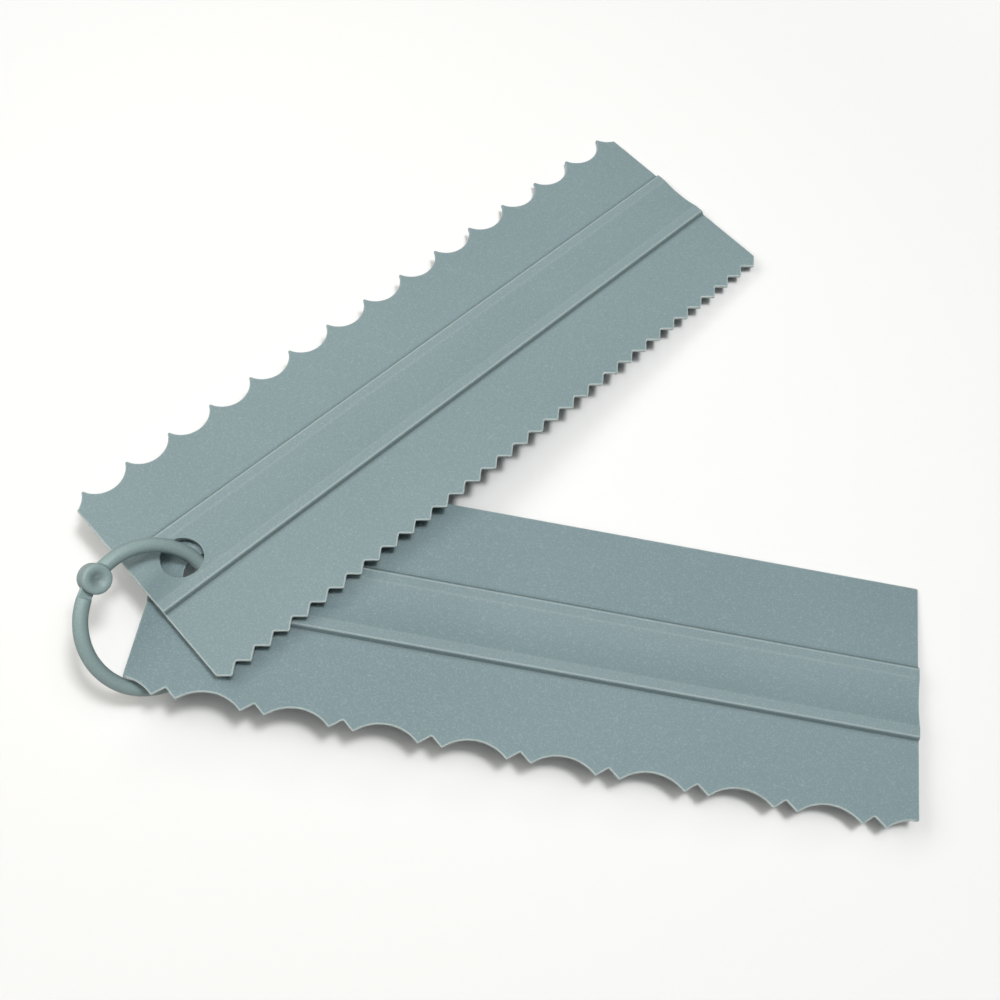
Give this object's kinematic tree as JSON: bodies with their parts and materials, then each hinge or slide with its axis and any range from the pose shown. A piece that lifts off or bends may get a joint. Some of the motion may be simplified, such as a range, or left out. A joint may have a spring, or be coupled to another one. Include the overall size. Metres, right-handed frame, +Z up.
{
  "type": "icing smoother",
  "caption": "Pair of thin plastic icing combs with shaped and straight edges, fanned on a clip-shut ring, for smoothing and texturing the icing on a cake.",
  "frame": {"origin": "middle of the whole outline as seen from above, on the worktop that the combs' free corners and the ring rest on", "axes": "+Z up from the worktop; +X across the picture to the right, within 6 degrees of the lower comb's length; +Y away from the viewer"},
  "size_m": [0.2572, 0.2398, 0.0364],
  "materials": {
    "comb_plastic": "fine satin",
    "ring_plastic": "satin"
  },
  "bodies": {
    "lower_comb": {"arch_notch_comb": "comb_plastic"},
    "upper_comb": {"scallop_zigzag_comb": "comb_plastic"},
    "ring": {"snap_ring": "ring_plastic"}
  },
  "joints": [
    {"name": "comb_fan", "type": "hinge", "parent": "lower_comb", "child": "upper_comb", "pos_m": [-0.09482, -0.05686, 0.01648], "axis": [0.021, 0.0781, 0.9967], "range_deg": [-45, 85]},
    {"name": "ring_turn", "type": "hinge", "parent": "lower_comb", "child": "ring", "pos_m": [-0.10074, -0.07495, 0.01684], "axis": [0.643, -0.2942, 0.7071], "range_deg": [-80, 50]}
  ]
}
